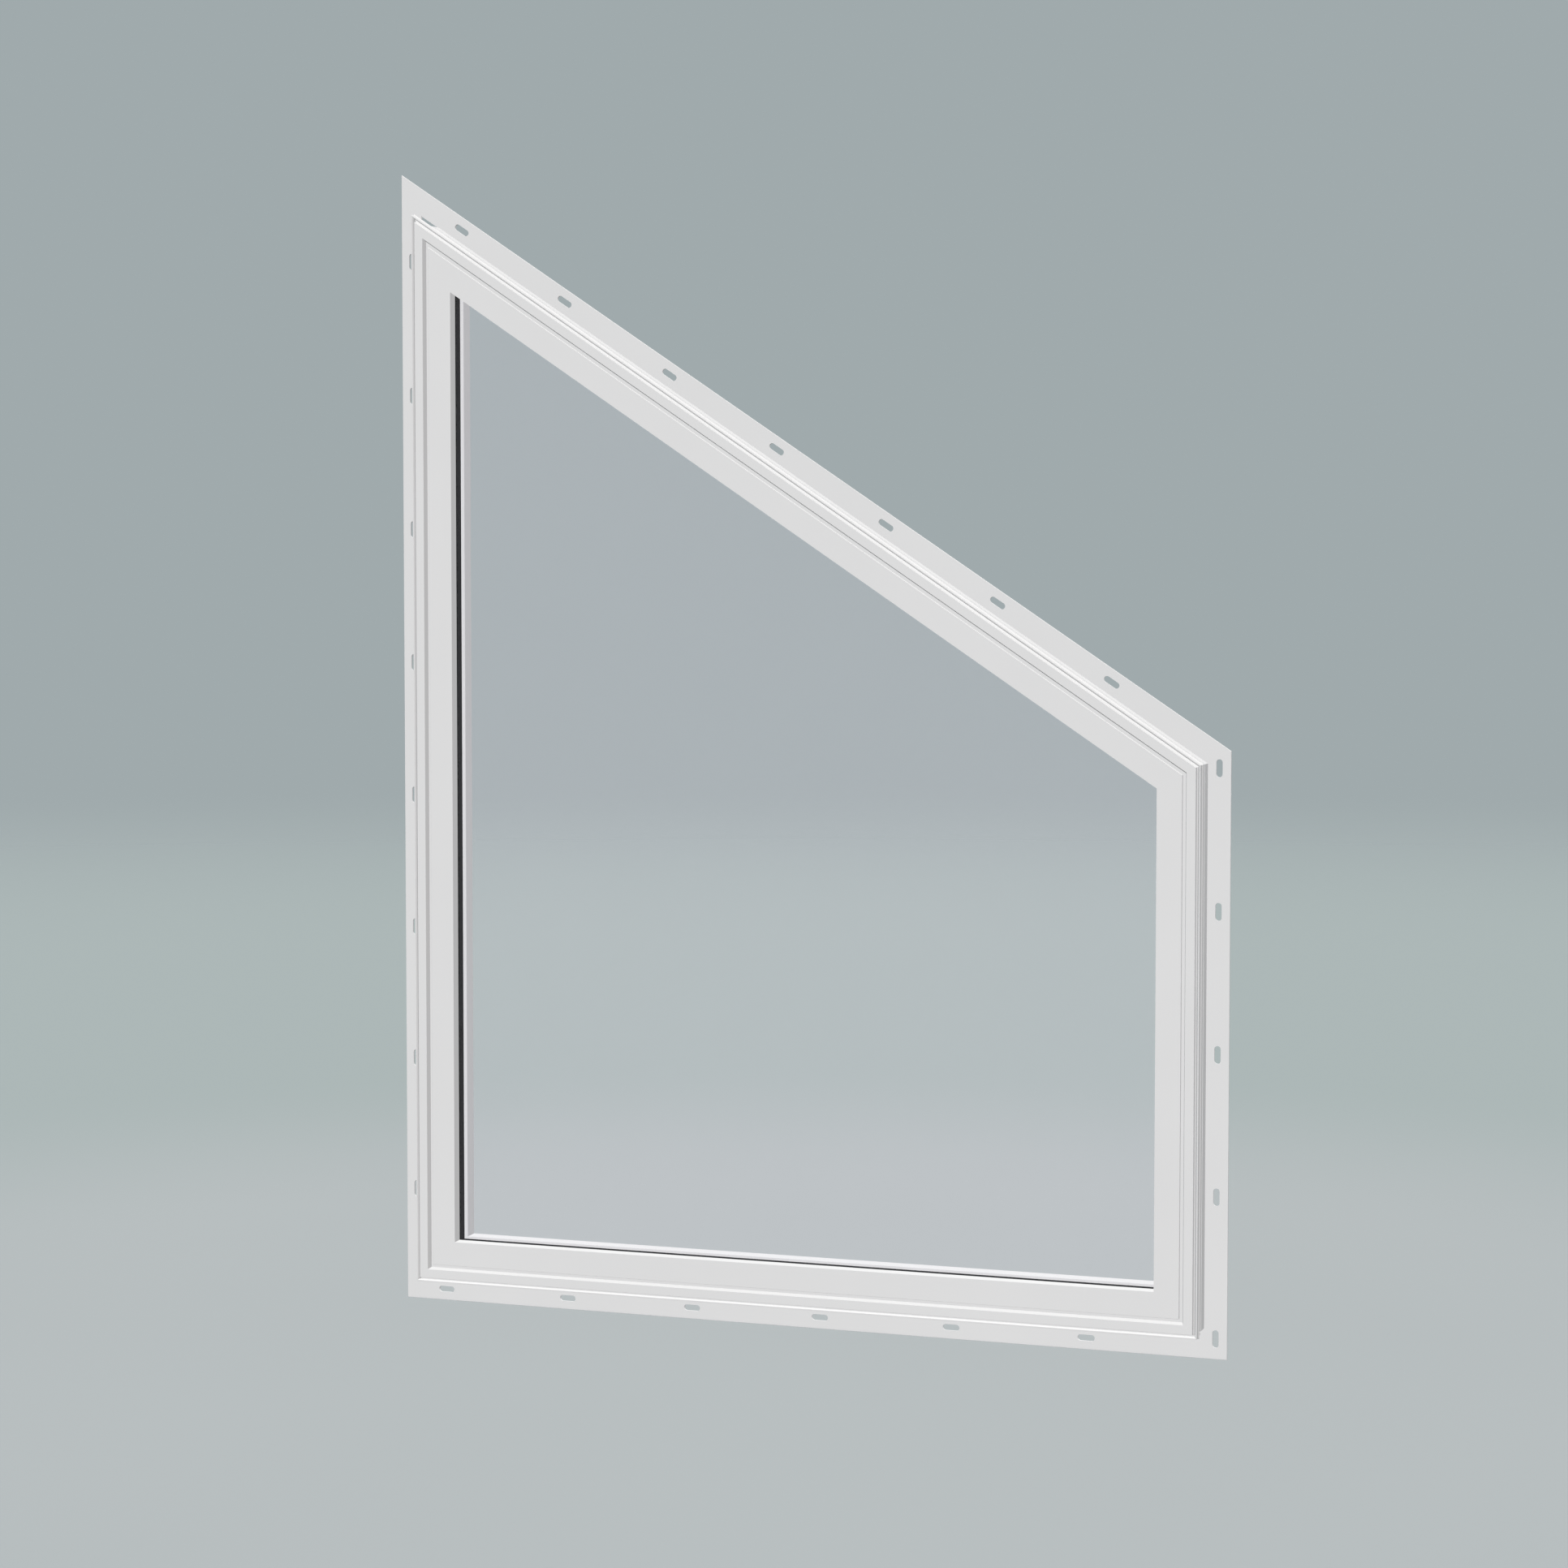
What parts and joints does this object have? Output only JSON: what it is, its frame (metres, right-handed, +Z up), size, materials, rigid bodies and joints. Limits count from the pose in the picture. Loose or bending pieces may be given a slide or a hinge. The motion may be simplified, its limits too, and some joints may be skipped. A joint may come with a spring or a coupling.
{
  "type": "trapezoid window",
  "caption": "Fixed trapezoid window in white plastic: sloped head, mitred frame, slotted nailing fin and sealed double glazing held by room-side beads.",
  "frame": {"origin": "on the back face of the sill's nailing fin, at mid-width, at the fin's bottom edge: the face that lies against the wall sheathing", "axes": "+Z up, +Y through the wall towards the room, +X to the right seen from outside; the tall side is at -X and the outside of the building at -Y"},
  "size_m": [1.268, 0.07, 1.6975],
  "materials": {
    "fin_plastic": "smooth white PVC, satin",
    "frame_plastic": "smooth white PVC, satin",
    "bead_plastic": "smooth white PVC, satin",
    "gasket_rubber": "black, matt",
    "spacer_black": "black, matt",
    "outer_glass": "clear, polished",
    "inner_glass": "clear, polished"
  },
  "bodies": {
    "root": {"nail_fin_left": "fin_plastic", "nail_fin_sill": "fin_plastic", "nail_fin_right": "fin_plastic", "nail_fin_head": "fin_plastic", "clip_leg_left": "fin_plastic", "clip_leg_sill": "fin_plastic", "clip_leg_right": "fin_plastic", "clip_leg_head": "fin_plastic", "frame_left_jamb": "frame_plastic", "frame_sill": "frame_plastic", "frame_right_jamb": "frame_plastic", "frame_head": "frame_plastic", "glazing_bead_left": "bead_plastic", "glazing_bead_sill": "bead_plastic", "glazing_bead_right": "bead_plastic", "glazing_bead_head": "bead_plastic", "outer_gasket_left": "gasket_rubber", "outer_gasket_sill": "gasket_rubber", "outer_gasket_right": "gasket_rubber", "outer_gasket_head": "gasket_rubber", "inner_gasket_left": "gasket_rubber", "inner_gasket_sill": "gasket_rubber", "inner_gasket_right": "gasket_rubber", "inner_gasket_head": "gasket_rubber", "spacer_left": "spacer_black", "spacer_sill": "spacer_black", "spacer_right": "spacer_black", "spacer_head": "spacer_black", "outer_pane": "outer_glass", "inner_pane": "inner_glass"}
  },
  "joints": []
}
